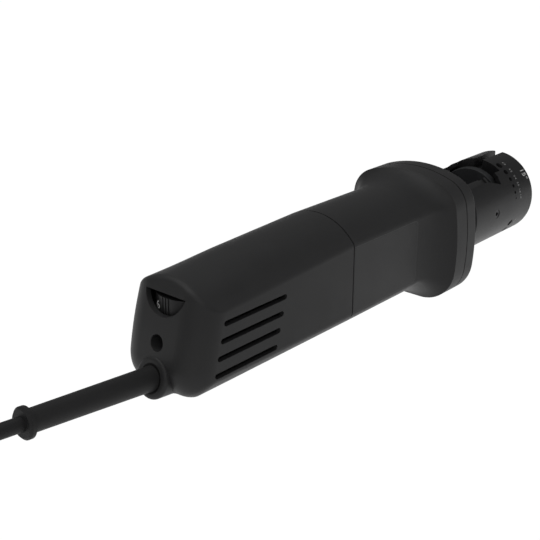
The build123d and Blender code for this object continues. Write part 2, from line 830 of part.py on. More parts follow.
coil_wire = coil_window - 2 * running_fit
coil_spread = radians(coil_angle + coil_end_angle)
with BuildPart() as field_coils:
    for x in (x_core - coil_overhang, x_core + core_length):
        for sign in (1, -1):
            corner = (2 * inner_radius * sin(coil_spread), sign * 2 * inner_radius * cos(coil_spread))
            with BuildSketch(section_plane(x)):
                with BuildLine():
                    Polyline((0, 0), corner, (-corner[0], corner[1]), close=True)
                make_face()
                Circle(coil_ring + coil_wire - part_gap, mode=Mode.INTERSECT)
                Circle(coil_ring - coil_wire + part_gap, mode=Mode.SUBTRACT)
            extrude(amount=coil_overhang)
    with BuildSketch(section_plane(x_core)):
        for pole in (0, 180):
            for side in (-coil_angle, coil_angle):
                with PolarLocations(coil_ring, 1, start_angle=90 + pole + side):
                    Circle(coil_wire)
    extrude(amount=core_length)
save(field_coils, "field_coils")

x_baffle = x_rim - fan_chamber_set - part_gap - baffle_thickness
with BuildPart() as fan_baffle:
    extrude(
        body_section(x_baffle, inner_radius - part_gap, 0, inner_flat - part_gap), amount=baffle_thickness
    )
    disc(x_baffle, winding_radius + baffle_room, baffle_thickness, mode=Mode.SUBTRACT)
save(fan_baffle, "fan_baffle")

# Brush gear above and below the commutator, in the cup at the back of the motor housing
x_brush = x_commutator + commutator_length / 2
cup_radius = barrel_radius - cup_inset - cup_wall
holder_half = brush_width / 2 + holder_wall
holder_top = sqrt(cup_radius**2 - holder_half**2) - 2 * part_gap
holder_low = commutator_radius + holder_gap
brush_low = commutator_radius + part_gap
brush_top = brush_low + brush_reach


def upright_plane(height, sign):
    """Plane across the brushes, height from the axis, facing up for sign 1 and down for sign -1."""
    return Plane(origin=(x_brush, 0, axis_z + sign * height), x_dir=(1, 0, 0), z_dir=(0, 0, sign))


with BuildPart() as brush_holders:
    for sign in (1, -1):
        with BuildSketch(upright_plane(holder_low, sign)):
            Rectangle(brush_length + 2 * holder_wall, 2 * holder_half)
            Rectangle(brush_length + 2 * running_fit, brush_width + 2 * running_fit, mode=Mode.SUBTRACT)
        extrude(amount=holder_top - holder_low)
save(brush_holders, "brush_holders")

with BuildPart() as carbon_brushes:
    for sign in (1, -1):
        with BuildSketch(upright_plane(brush_low - overcut, sign)):
            Rectangle(brush_length, brush_width)
        extrude(amount=brush_top - brush_low + overcut)
    disc(x_commutator, brush_low, commutator_length, mode=Mode.SUBTRACT)
save(carbon_brushes, "carbon_brushes")

with BuildPart() as brush_springs:
    for sign in (1, -1):
        low = sign * (brush_top + spring_strip / 2 + running_fit)
        high = sign * (holder_top - spring_strip)
        reach = brush_width / 2 - spring_strip
        with BuildSketch(section_plane(x_brush - brush_length / 3)):
            with BuildLine():
                ThreePointArc((-reach, high), (0, low), (reach, high))
            trace(line_width=spring_strip)
        extrude(amount=brush_length * 2 / 3)
save(brush_springs, "brush_springs")

# Rear cover: a tapered cap with a slanted, rounded rear face
gland_lean = radians(sleeve_rise)
gland_inward = Vector(cos(gland_lean), 0, -sin(gland_lean))
gland_mouth = Vector(rear_face(-gland_drop), 0, axis_z - gland_drop)
gland_plane = Plane(origin=gland_mouth, x_dir=(0, 1, 0), z_dir=gland_inward)
side_plane = Plane(origin=(0, 0, axis_z), x_dir=(1, 0, 0), z_dir=(0, -1, 0))
clamp_depth = gland_depth + sleeve_collar_width + clamp_set
clamp_plane = gland_plane.offset(clamp_depth)
clamp_screw_offset = clamp_width / 2 - clamp_screw_set
clamp_screws = ((clamp_length / 2, clamp_screw_offset), (clamp_length / 2, -clamp_screw_offset))


def rear_wheel(inset):
    """Disc across the tool, drawn in by inset: its rim is the bowed rear face, its sides the flats."""
    lean = radians(rear_slant)
    centre_x = rear_face(rear_bow_height) + rear_bow * cos(lean)
    centre = Vector(centre_x, 0, axis_z + rear_bow_height - rear_bow * sin(lean))
    with BuildPart(Plane(origin=centre, x_dir=(1, 0, 0), z_dir=(0, 1, 0))) as wheel:
        Cylinder(rear_bow - inset, 2 * (side_flat - inset))
        fillet(wheel.edges().filter_by(GeomType.CIRCLE), rear_corner - inset)
    return wheel.part


def cover_form(inset):
    """Solid of the rear cover's outline, drawn in by inset: a tapered round bar trimmed by the disc."""
    taper = (barrel_radius - cover_end_radius) / cover_length
    bar_length = cover_length + gland_radius
    with BuildPart() as form:
        with BuildSketch(section_plane(x_cover)) as seam_circle:
            Circle(barrel_radius - inset)
        with BuildSketch(section_plane(x_cover - bar_length)) as end_circle:
            with Locations((0, -taper * bar_length)):
                Circle(barrel_radius - taper * bar_length - inset)
        loft([seam_circle.sketch, end_circle.sketch], ruled=True)
        add(rear_wheel(inset), mode=Mode.INTERSECT)
    return form.part


with BuildPart() as outer_cover:
    add(cover_form(0))
    by_height = outer_cover.faces().sort_by(Axis.Z)
    round_edges = by_height[-1].edges() + by_height[0].edges()
    fillet([edge for edge in round_edges if abs(edge.center().X - x_cover) > seam_gap], flat_blend)
inner_form = cover_form(wall)
rib_form = cover_form(wall / 2)

with BuildPart() as cover_ribs:
    with BuildSketch(section_plane(x_rear)):
        with Locations((0, -cover_screw_drop)):
            Circle(cover_screw_recess + screw_tube_wall)
    extrude(amount=x_boss - x_rear)
    with BuildSketch(clamp_plane):
        with Locations((0, -barrel_radius / 2)):
            Rectangle(clamp_width, barrel_radius)
    extrude(amount=clamp_length)
    add(rib_form, mode=Mode.INTERSECT)

with BuildPart() as gland_boss:
    with BuildSketch(gland_plane.offset(-gland_radius)):
        Circle(gland_radius)
    extrude(amount=gland_radius + gland_depth)
    split(bisect_by=rear_plane, keep=Keep.BOTTOM)
    fillet(gland_boss.faces().sort_by(Axis.X)[0].edges(), gland_round)

with BuildPart() as rear_cover:
    add(outer_cover.part)
    add(inner_form, mode=Mode.SUBTRACT)
    with BuildSketch(side_plane):
        for number in range(vent_count):
            height = vent_pitch * ((vent_count - 1) / 2 - number) - vent_drop
            with Locations((rear_face(height) + vent_set, height)):
                SlotOverall(vent_length, vent_width)
    extrude(amount=2 * barrel_radius, both=True, mode=Mode.SUBTRACT)
    add(cover_ribs.part)
    add(gland_boss.part)
    with BuildSketch(gland_plane.offset(-gland_radius)):
        Circle(sleeve_radius + running_fit)
    extrude(amount=gland_radius + clamp_depth, mode=Mode.SUBTRACT)
    with BuildSketch(clamp_plane):
        Circle(cord_diameter / 2 + running_fit)
    extrude(amount=clamp_length, mode=Mode.SUBTRACT)
    with BuildSketch(Plane(origin=clamp_plane.origin, x_dir=clamp_plane.z_dir, z_dir=clamp_plane.y_dir)):
        with Locations(*clamp_screws):
            Circle(clamp_screw_radius + seat_fit)
    extrude(amount=-clamp_height, mode=Mode.SUBTRACT)
    with BuildSketch(section_plane(x_rear)):
        with Locations((0, -cover_screw_drop)):
            Circle(cover_screw_recess)
    extrude(amount=x_screw_seat - x_rear, mode=Mode.SUBTRACT)
    with BuildSketch(section_plane(x_screw_seat)):
        with Locations((0, -cover_screw_drop)):
            Circle(cover_screw_radius + part_gap)
    extrude(amount=wall, mode=Mode.SUBTRACT)
    with BuildSketch(section_plane(x_rear)):
        with Locations((0, dial_window_top + dial_window_radius - dial_window_height)):
            Circle(dial_window_radius)
        with Locations((0, dial_window_top)):
            Rectangle(
                4 * dial_window_radius,
                4 * dial_window_radius,
                align=(Align.CENTER, Align.MAX),
                mode=Mode.INTERSECT,
            )
    extrude(amount=rear_face(dial_window_top) + 2 * wall - x_rear, mode=Mode.SUBTRACT)
save(rear_cover, "rear_cover")

with BuildPart() as rear_cover_screw:
    with BuildSketch(section_plane(x_screw_seat)):
        with Locations((0, -cover_screw_drop)):
            Circle(cover_screw_recess - part_gap)
    extrude(amount=-cover_screw_head)
    with BuildSketch(section_plane(x_screw_seat - cover_screw_head)):
        with Locations((0, -cover_screw_drop)):
            Rectangle(screw_cross_length, screw_cross_width)
            Rectangle(screw_cross_width, screw_cross_length)
    extrude(amount=screw_cross_depth, mode=Mode.SUBTRACT)
    with BuildSketch(section_plane(x_screw_seat)):
        with Locations((0, -cover_screw_drop)):
            Circle(cover_screw_radius)
    extrude(amount=wall + cover_screw_grip)
save(rear_cover_screw, "rear_cover_screw")

# Speed dial on the control module's pin, its rim in the half-moon window
x_dial = rear_face(dial_top) + dial_recess + dial_radius
dial_plane = Plane(origin=(x_dial, 0, axis_z + dial_top), x_dir=(1, 0, 0), z_dir=(0, 0, 1))
with BuildPart() as speed_dial:
    with BuildSketch(dial_plane):
        Circle(dial_radius)
        Circle(dial_pin + running_fit, mode=Mode.SUBTRACT)
        for rib in range(dial_ribs):
            rib_turn = degrees(dial_rib_pitch * (rib - (dial_ribs - 1) / 2) / dial_radius)
            first_rib = 180 - dial_pad_turn + 180 / dial_pads + rib_turn
            with PolarLocations(dial_radius, dial_pads, start_angle=first_rib):
                Rectangle(2 * dial_rib_depth, dial_rib_width, mode=Mode.SUBTRACT)
    extrude(amount=-dial_height)
save(speed_dial, "speed_dial")

module_top = dial_top - dial_height - 2 * part_gap
module_plane = Plane(origin=(x_dial, 0, axis_z + module_top), x_dir=(1, 0, 0), z_dir=(0, 0, 1))
with BuildPart() as speed_control_module:
    with BuildSketch(module_plane):
        RectangleRounded(module_length, module_width, module_corner)
    extrude(amount=-module_height)
    with BuildSketch(module_plane):
        Circle(dial_pin)
    extrude(amount=dial_height)
save(speed_control_module, "speed_control_module")

# Mains lead inside the cover: sleeve moulded on the cord, clamp bar and its two screws
with BuildPart() as strain_relief:
    with BuildSketch(Plane(origin=gland_mouth, x_dir=gland_inward, z_dir=(0, -1, 0))):
        with BuildLine():
            Polyline(
                (-sleeve_length, 0),
                (-sleeve_length, sleeve_bead - sleeve_bead_edge),
                (-sleeve_length + sleeve_bead_edge, sleeve_bead),
                (-sleeve_length + sleeve_bead_width - sleeve_bead_edge, sleeve_bead),
                (-sleeve_length + sleeve_bead_width, sleeve_end_radius),
                (0, sleeve_radius),
                (gland_depth, sleeve_radius),
                (gland_depth, sleeve_collar),
                (gland_depth + sleeve_collar_width, sleeve_collar),
                (gland_depth + sleeve_collar_width, 0),
                close=True,
            )
        make_face()
    revolve(axis=Axis(gland_mouth, gland_inward))
save(strain_relief, "strain_relief")

with BuildPart() as cord_tail:
    with BuildSketch(gland_plane.offset(gland_depth + sleeve_collar_width)):
        Circle(cord_diameter / 2)
    extrude(amount=cord_tail_length)
save(cord_tail, "cord_tail")

clamp_top = Plane(
    origin=clamp_plane.origin + clamp_height * clamp_plane.y_dir,
    x_dir=clamp_plane.z_dir,
    z_dir=clamp_plane.y_dir,
)
with BuildPart() as cord_clamp:
    with BuildSketch(clamp_plane):
        with Locations((0, clamp_height / 2 + running_fit)):
            Rectangle(clamp_width, clamp_height - 2 * running_fit)
    extrude(amount=clamp_length)
    with BuildSketch(clamp_plane):
        Circle(cord_diameter / 2 + running_fit)
    extrude(amount=clamp_length, mode=Mode.SUBTRACT)
    with BuildSketch(clamp_top):
        with Locations(*clamp_screws):
            Circle(clamp_screw_radius + seat_fit)
    extrude(amount=-clamp_height, mode=Mode.SUBTRACT)
save(cord_clamp, "cord_clamp")

with BuildPart() as cord_clamp_screws:
    with BuildSketch(clamp_top):
        with Locations(*clamp_screws):
            Circle(2 * clamp_screw_radius)
    extrude(amount=clamp_screw_head)
    with BuildSketch(clamp_top):
        with Locations(*clamp_screws):
            Circle(clamp_screw_radius)
    extrude(amount=-clamp_height - clamp_screw_grip)
save(cord_clamp_screws, "cord_clamp_screws")

# Mains lead outside: a free stretch down to the bench, then the rest folded into a tied hank
cord_radius = cord_diameter / 2
turn_pitch = cord_diameter + hank_gap
hank_low = tie_thickness + part_gap + cord_radius
sleeve_end = gland_mouth - sleeve_length * gland_inward
cord_route = [
    sleeve_end,
    sleeve_end - 2 * cord_diameter * gland_inward,
    Vector(-229, 4.4, 24.1),
    Vector(-243.1, 11.9, 21.2),
    Vector(-256.5, 20.6, 16.2),
    Vector(-270.8, 27.9, 10.6),
    Vector(-288.1, hank_radius, hank_low),
    Vector(hank_x, hank_radius, hank_low),
]


def corner_radii(route):
    """Fillet radius at each inner point: the arc takes its share of the shorter run beside it."""
    radii = []
    for before, corner, after in zip(route, route[1:], route[2:]):
        arriving = corner - before
        leaving = after - corner
        half_turn = radians(arriving.get_angle(leaving)) / 2
        radii.append(arc_share * min(arriving.length, leaving.length) / tan(half_turn))
    return radii


def run_start(run):
    """Point and heading where a run of the hank begins: even runs go back on the left, odd ones return."""
    side = 1 if run % 2 == 0 else -1
    offset = hank_radius - (hank_inner_run - abs(run - hank_inner_run)) * turn_pitch / 2
    x = hank_x if side > 0 else hank_x - hank_run
    return Vector(x, side * offset, run_height(run)), Vector(-side, 0, 0)


def run_height(run):
    """Height at which a run begins: each layer lies a pitch above the one before."""
    return hank_low + turn_pitch * ((run > hank_inner_run) + (run > hank_last_run))


def climb(start, end, heading):
    """Gentle step up along a run: two equal arcs that meet midway."""
    middle = (start + end) * 0.5
    chord = (end - start).normalized()
    TangentArc(start, middle, tangent=heading)
    TangentArc(middle, end, tangent=2 * chord.dot(heading) * chord - heading)


def least_gap(path, samples=900):
    """Least gap between stretches of a cord that lie more than three diameters apart along it."""
    points = [path.position_at(number / samples) for number in range(samples + 1)]
    skip = int(3 * cord_diameter / path.length * samples) + 1
    nearest = min(
        (points[first] - points[second]).length
        for first in range(samples + 1)
        for second in range(first + skip, samples + 1)
    )
    return nearest - cord_diameter


route_radii = corner_radii(cord_route)
print("mains_cord bend radii", [round(radius, 1) for radius in route_radii])
with BuildPart() as mains_cord:
    with BuildLine() as stretch:
        FilletPolyline(*cord_route, radius=route_radii)
    with BuildSketch(Plane(origin=sleeve_end, z_dir=-gland_inward)) as stretch_section:
        RegularPolygon(cord_radius, 2 * cord_sides)
    sweep()
stretch_length = stretch.wire().length
print("mains_cord length", round(stretch_length, 1))
stretch_volume = stretch_section.sketch.area * stretch_length
print("mains_cord volume over section by length", mains_cord.part.volume / stretch_volume)
save(mains_cord, "mains_cord")

layer_top = run_height(hank_last_run) + cord_radius
plug_height = layer_top + part_gap + plug_thickness / 2
hank_end = Vector(hank_x - hank_run, -plug_side, plug_height)
with BuildPart() as cord_hank:
    with BuildLine() as winding:
        for run in range(hank_last_run + 1):
            point, heading = run_start(run)
            run_end = point + hank_run * heading
            run_end.Z = run_height(run + 1)
            if run_end.Z > point.Z:
                climb(point, run_end, heading)
            else:
                Line(point, run_end)
            next_point = run_start(run + 1)[0] if run < hank_last_run else hank_end
            TangentArc(run_end, next_point, tangent=heading)
        Line(hank_end, hank_end + Vector(cord_diameter, 0, 0))
    with BuildSketch(Plane(origin=cord_route[-1], z_dir=(-1, 0, 0))) as cord_section:
        RegularPolygon(cord_radius, cord_sides)
    sweep()
hank_path = winding.wire()
print("cord_hank length", round(hank_path.length, 1), "least gap to itself", round(least_gap(hank_path), 2))
hank_volume = cord_section.sketch.area * hank_path.length
print("cord_hank volume over section by length", cord_hank.part.volume / hank_volume)
save(cord_hank, "cord_hank")

tie_outer = hank_radius + cord_radius + 3 * part_gap
tie_inner = run_start(hank_inner_run)[0].Y - cord_radius - 3 * part_gap
tie_top = run_height(hank_last_run + 1) + part_gap
with BuildPart() as cord_tie:
    with BuildSketch(Plane(origin=(hank_x - hank_run / 2, 0, 0), x_dir=(0, 1, 0), z_dir=(1, 0, 0))):
        with Locations(((tie_outer + tie_inner) / 2, (tie_top + tie_thickness) / 2)):
            RectangleRounded(tie_outer - tie_inner + 2 * tie_thickness, tie_top + tie_thickness, tie_corner)
            RectangleRounded(
                tie_outer - tie_inner,
                tie_top - tie_thickness,
                tie_corner - tie_thickness,
                mode=Mode.SUBTRACT,
            )
    extrude(amount=tie_width / 2, both=True)
save(cord_tie, "cord_tie")

# Plug at the far end
x_plug_sleeve = hank_end.X + cord_diameter
x_plug = x_plug_sleeve + plug_sleeve_length
x_plug_shoulder = x_plug + plug_length / 3


def plug_plane(x):
    """Plane square to the plug's axis at station x."""
    return Plane(origin=(x, hank_end.Y, plug_height), x_dir=(0, 1, 0), z_dir=(1, 0, 0))


with BuildPart() as plug_body:
    with BuildSketch(plug_plane(x_plug_sleeve)):
        Circle(cord_radius + plug_sleeve_wall)
    with BuildSketch(plug_plane(x_plug)):
        Circle(plug_sleeve_radius)
    loft()
    with BuildSketch(plug_plane(x_plug)):
        RectangleRounded(plug_neck_width, plug_neck_thickness, plug_neck_corner)
    with BuildSketch(plug_plane(x_plug_shoulder)):
        RectangleRounded(plug_width, plug_thickness, plug_corner)
    loft()
    with BuildSketch(plug_plane(x_plug_shoulder)):
        RectangleRounded(plug_width, plug_thickness, plug_corner)
    extrude(amount=plug_length * 2 / 3)
save(plug_body, "plug_body")

with BuildPart() as plug_pins:
    with BuildSketch(plug_plane(x_plug + plug_length)):
        with Locations((pin_spacing / 2, 0), (-pin_spacing / 2, 0)):
            Circle(pin_radius)
    extrude(amount=pin_length)
    chamfer(plug_pins.faces().sort_by(Axis.X)[-2:].edges(), pin_radius / 3)
save(plug_pins, "plug_pins")
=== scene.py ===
import json
from math import cos, hypot, pi, radians, sin, sqrt, tan

import bmesh
import bpy
from mathutils import Matrix, Vector


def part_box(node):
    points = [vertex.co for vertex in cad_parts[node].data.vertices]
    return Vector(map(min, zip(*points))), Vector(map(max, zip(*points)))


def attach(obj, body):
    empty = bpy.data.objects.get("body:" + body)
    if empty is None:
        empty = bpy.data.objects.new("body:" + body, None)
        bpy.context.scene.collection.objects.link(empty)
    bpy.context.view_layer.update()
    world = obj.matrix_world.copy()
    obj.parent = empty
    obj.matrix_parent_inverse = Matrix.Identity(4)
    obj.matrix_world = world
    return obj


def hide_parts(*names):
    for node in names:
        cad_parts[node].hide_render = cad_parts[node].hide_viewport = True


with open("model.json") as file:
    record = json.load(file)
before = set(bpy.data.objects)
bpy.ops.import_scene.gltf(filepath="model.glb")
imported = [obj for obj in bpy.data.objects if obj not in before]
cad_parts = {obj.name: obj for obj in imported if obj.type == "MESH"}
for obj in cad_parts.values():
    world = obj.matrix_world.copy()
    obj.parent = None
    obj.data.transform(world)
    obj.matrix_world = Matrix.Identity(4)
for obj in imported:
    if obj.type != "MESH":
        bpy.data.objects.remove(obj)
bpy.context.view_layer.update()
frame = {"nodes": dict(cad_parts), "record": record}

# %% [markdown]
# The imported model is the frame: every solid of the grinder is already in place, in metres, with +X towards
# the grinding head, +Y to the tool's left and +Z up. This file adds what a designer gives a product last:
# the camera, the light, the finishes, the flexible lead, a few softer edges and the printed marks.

MM = 0.001
AXIS_Z = 34 * MM
nodes = frame["nodes"]

# %% [markdown]
# The product picture was taken from behind, to the right and a little above, with a lens somewhat longer
# than normal, so the sides converge only a little. A camera is a place and three directions: right of the
# picture, up the picture, and back towards the viewer. Written out as a matrix these can be set at once,
# which is steadier than turning a camera by angles until it looks right.

# %% Camera
EYE = Vector((-382.1, -279.3, 211.0)) * MM
PICTURE_RIGHT = Vector((0.6604, -0.7509, 0.0)).normalized()
PICTURE_UP = Vector((0.2768, 0.2434, 0.9296))
PICTURE_BACK = PICTURE_RIGHT.cross(PICTURE_UP).normalized()
PICTURE_UP = PICTURE_BACK.cross(PICTURE_RIGHT)
PICTURE_PIXELS = 540
FOCAL_PIXELS = 1000
SENSOR = 36.0
NEAREST = 10 * MM

camera_data = bpy.data.cameras.new("camera")
camera_data.sensor_width = SENSOR
camera_data.lens = SENSOR * FOCAL_PIXELS / PICTURE_PIXELS
camera_data.clip_start = NEAREST
camera = bpy.data.objects.new("camera", camera_data)
axes = Matrix((PICTURE_RIGHT, PICTURE_UP, PICTURE_BACK)).transposed()
camera.matrix_world = Matrix.Translation(EYE) @ axes.to_4x4()
scene = bpy.context.scene
scene.collection.objects.link(camera)
scene.camera = camera
print("lens", round(camera_data.lens, 1), "mm")

# %% [markdown]
# A catalogue picture has a white sweep under the product and large soft lamps. The floor is a plane whose
# material is a pale diffuse paint. For the rays that come from the camera or off a shiny surface, nearly all
# of it is plain white instead, so the background stays white with only a hint of shadow and the metal pieces
# mirror that white, while the light that the floor throws back on the tool is that of paint in its shadow.

# %% Small helpers for node materials
def new_material(name):
    """An empty node material: the material, its nodes, its links and its output."""
    material = bpy.data.materials.new(name)
    material.use_nodes = True
    tree = material.node_tree
    tree.nodes.clear()
    output = tree.nodes.new("ShaderNodeOutputMaterial")
    return material, tree.nodes, tree.links, output


def link_object(name, mesh, material=None):
    """A new object of a mesh or curve, in the scene, with its material."""
    thing = bpy.data.objects.new(name, mesh)
    scene.collection.objects.link(thing)
    if material:
        thing.data.materials.append(material)
    return thing


# %% Floor and light
FLOOR_SIZE = 6.0
FLOOR_WHITE = 0.92
FLOOR_GLOW = 0.97
FLOOR_BRIGHT = 1.04
FLOOR_GAP = 0.2 * MM
WORLD_STRENGTH = 0.22
TOOL_MIDDLE = Vector((0, 0, AXIS_Z))


def floor_material():
    """Pale paint, mostly replaced by plain white for the rays that show the background."""
    material, tree_nodes, links, output = new_material("studio_floor")
    paint = tree_nodes.new("ShaderNodeBsdfDiffuse")
    paint.inputs["Color"].default_value = (FLOOR_WHITE, FLOOR_WHITE, FLOOR_WHITE, 1)
    glow = tree_nodes.new("ShaderNodeEmission")
    glow.inputs["Strength"].default_value = FLOOR_BRIGHT
    path = tree_nodes.new("ShaderNodeLightPath")
    seen = path.outputs["Is Camera Ray"]
    for kind in ("Is Glossy Ray", "Is Transmission Ray"):
        either = tree_nodes.new("ShaderNodeMath")
        either.operation = "MAXIMUM"
        links.new(seen, either.inputs[0])
        links.new(path.outputs[kind], either.inputs[1])
        seen = either.outputs[0]
    share = tree_nodes.new("ShaderNodeMath")
    share.operation = "MULTIPLY"
    share.inputs[1].default_value = FLOOR_GLOW
    links.new(seen, share.inputs[0])
    mix = tree_nodes.new("ShaderNodeMixShader")
    links.new(share.outputs[0], mix.inputs[0])
    links.new(paint.outputs[0], mix.inputs[1])
    links.new(glow.outputs[0], mix.inputs[2])
    links.new(mix.outputs[0], output.inputs["Surface"])
    return material


floor_mesh = bpy.data.meshes.new("floor")
half = FLOOR_SIZE / 2
corners = [(-half, -half, 0), (half, -half, 0), (half, half, 0), (-half, half, 0)]
floor_mesh.from_pydata(corners, [], [(0, 1, 2, 3)])
floor = link_object("floor", floor_mesh, floor_material())
floor.location.z = -FLOOR_GAP


def soft_lamp(name, place, size, watts):
    """A square area lamp at place, turned towards the tool."""
    lamp_data = bpy.data.lights.new(name, "AREA")
    lamp_data.size = size
    lamp_data.energy = watts
    lamp = bpy.data.objects.new(name, lamp_data)
    lamp.location = place
    lamp.rotation_euler = (TOOL_MIDDLE - Vector(place)).to_track_quat("-Z", "Y").to_euler()
    scene.collection.objects.link(lamp)


soft_lamp("top_lamp", place=(-0.2, 0.35, 1.3), size=1.0, watts=6)
soft_lamp("camera_lamp", place=(-0.9, -0.8, 0.9), size=0.8, watts=3)
soft_lamp("side_lamp", place=(0.7, -0.9, 0.5), size=0.7, watts=1)

world = bpy.data.worlds.new("studio")
world.use_nodes = True
scene.world = world
sky = world.node_tree.nodes["Background"].inputs
sky["Color"].default_value = (1, 1, 1, 1)
sky["Strength"].default_value = WORLD_STRENGTH
scene.view_settings.view_transform = "Standard"
print("floor", FLOOR_SIZE, "m square, lamps", len(bpy.data.lights))

# %% [markdown]
# The mains lead is a round flexible cord. It leaves the strain relief straight, sags to the bench in one
# gentle S and ends in a flat hank that lies in line with the tool, outside the picture. A NURBS curve with
# its control points along the route gives the smooth line that a stiff rubber cord takes. The hank's points
# come from a loop over its folds: each fold is half a circle, and its points stand a little outside it,
# because a curve of order three cuts inside its corners. The cord's thickness is written at its points,
# since a point's usual radius of 1 m would count towards the tool's size.

# %% Lead
CORD_DIAMETER = 6.2 * MM
TURN_PITCH = 6.8 * MM
HANK_FRONT = -306 * MM
HANK_RUN = 105 * MM
HANK_RADIUS = 33 * MM
HANK_LOW = 4.6 * MM
INNER_RUN = 4
LAST_RUN = 8
FOLD_POINTS = 8
CURVE_ORDER = 3
CURVE_STEPS = 6
ROUND_STEPS = 6
PLUG_ENTRY = Vector((-404.8, -26.0, 27.8)) * MM

lead_route = [
    (-0.20255, 0, 0.02371),
    (-0.21488, 0, 0.02494),
    (-0.229, 0.0044, 0.0241),
    (-0.2431, 0.0119, 0.0212),
    (-0.2565, 0.0206, 0.0162),
    (-0.2708, 0.0279, 0.0106),
    (-0.2881, 0.033, 0.0046),
    (-0.306, 0.033, 0.0046),
]


def run_side(run):
    """Where a run lies across the hank: even runs on the left, closer in until the inner one, then out."""
    offset = HANK_RADIUS - (INNER_RUN - abs(run - INNER_RUN)) * TURN_PITCH / 2
    return offset if run % 2 == 0 else -offset


def run_height(run):
    """Height at which a run begins: each layer lies a pitch above the one before."""
    return HANK_LOW + TURN_PITCH * ((run > INNER_RUN) + (run > LAST_RUN))


def fold(x, heading, start, end):
    """Control points of half a turn at x, from start to end, each given as its side and height."""
    step = pi / FOLD_POINTS
    middle = (start[0] + end[0]) / 2
    radius = (start[0] - end[0]) / 2
    points = []
    for number in range(FOLD_POINTS + 2):
        angle = (number - 0.5) * step
        reach = 1 / cos(step / 2)
        rise = (1 - cos(min(max(angle, 0), pi))) / 2
        place_x = x + heading * abs(radius) * reach * sin(angle)
        place_y = middle + radius * reach * cos(angle)
        points.append((place_x, place_y, start[1] + rise * (end[1] - start[1])))
    return points


hank_points = []
for run in range(LAST_RUN + 1):
    heading = -1 if run % 2 == 0 else 1
    fold_x = HANK_FRONT - HANK_RUN if heading < 0 else HANK_FRONT
    start = (run_side(run), run_height(run + 1))
    end = (run_side(run + 1), run_height(run + 1)) if run < LAST_RUN else (PLUG_ENTRY.y, PLUG_ENTRY.z)
    hank_points += fold(fold_x, heading, start, end)


def round_cord(name, points, diameter):
    """A cord of round section whose line is a NURBS curve of order three over the points."""
    curve = bpy.data.curves.new(name, "CURVE")
    curve.dimensions = "3D"
    curve.bevel_depth = 1
    curve.bevel_resolution = ROUND_STEPS
    curve.use_fill_caps = True
    spline = curve.splines.new("NURBS")
    spline.points.add(len(points) - 1)
    for point, place in zip(spline.points, points):
        point.co = (*place, 1)
        point.radius = diameter / 2
    spline.order_u = CURVE_ORDER
    spline.use_endpoint_u = True
    spline.resolution_u = CURVE_STEPS
    return link_object(name, curve)


mains_lead = round_cord("mains_lead", lead_route + hank_points + [tuple(PLUG_ENTRY)], CORD_DIAMETER)
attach(mains_lead, "housing")
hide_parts("mains_cord", "cord_hank")
print("lead points", len(lead_route) + len(hank_points) + 1)

# %% [markdown]
# Nearly everything that shows is black, so the finishes have to differ in gloss and grain, not in colour.
# One function builds what they share: a noise that shifts the colour and the roughness a little, as
# handling and moulding do, and a finer noise that roughens the surface as a bump. Its sizes are real ones,
# given as the width of a grain in millimetres, because the texture coordinates are metres.

# %% Shared surface
DULL_SPECULAR = 0.22
PATCH_WIDTH = 12 * MM
PATCH_DETAIL = 6
GRAIN_DETAIL = 2
BAND_DETAIL = 2
BAND_WANDER = 0.6
WAVE_LENGTH = pi / 10
GLOSS_SHIFT = 0.06


def surface(name, colour, roughness, metallic=0.0, grain=0.35, relief=0.02, tint_shift=0.12):
    """A node material: patchy colour and roughness, and a fine bump. Returns it with its nodes by role."""
    material, tree_nodes, links, output = new_material(name)
    shader = tree_nodes.new("ShaderNodeBsdfPrincipled")
    shader.inputs["Metallic"].default_value = metallic
    shader.inputs["Specular IOR Level"].default_value = DULL_SPECULAR
    links.new(shader.outputs[0], output.inputs["Surface"])
    where = tree_nodes.new("ShaderNodeTexCoord")

    patches = tree_nodes.new("ShaderNodeTexNoise")
    patches.inputs["Scale"].default_value = 1 / PATCH_WIDTH
    patches.inputs["Detail"].default_value = PATCH_DETAIL
    links.new(where.outputs["Object"], patches.inputs["Vector"])

    tint = tree_nodes.new("ShaderNodeMix")
    tint.data_type = "RGBA"
    tint.inputs["A"].default_value = (*[part * (1 - tint_shift) for part in colour], 1)
    tint.inputs["B"].default_value = (*[part * (1 + tint_shift) for part in colour], 1)
    links.new(patches.outputs["Fac"], tint.inputs["Factor"])
    links.new(tint.outputs["Result"], shader.inputs["Base Color"])

    gloss = tree_nodes.new("ShaderNodeMapRange")
    gloss.inputs["To Min"].default_value = roughness - GLOSS_SHIFT
    gloss.inputs["To Max"].default_value = roughness + GLOSS_SHIFT
    links.new(patches.outputs["Fac"], gloss.inputs["Value"])
    links.new(gloss.outputs["Result"], shader.inputs["Roughness"])

    grains = tree_nodes.new("ShaderNodeTexNoise")
    grains.inputs["Scale"].default_value = 1 / (grain * MM)
    grains.inputs["Detail"].default_value = GRAIN_DETAIL
    links.new(where.outputs["Object"], grains.inputs["Vector"])
    bump = tree_nodes.new("ShaderNodeBump")
    bump.inputs["Strength"].default_value = 1
    bump.inputs["Distance"].default_value = relief * MM
    links.new(grains.outputs["Fac"], bump.inputs["Height"])
    links.new(bump.outputs["Normal"], shader.inputs["Normal"])
    roles = {"shader": shader, "where": where, "bump": bump, "nodes": tree_nodes, "links": links}
    return material, roles


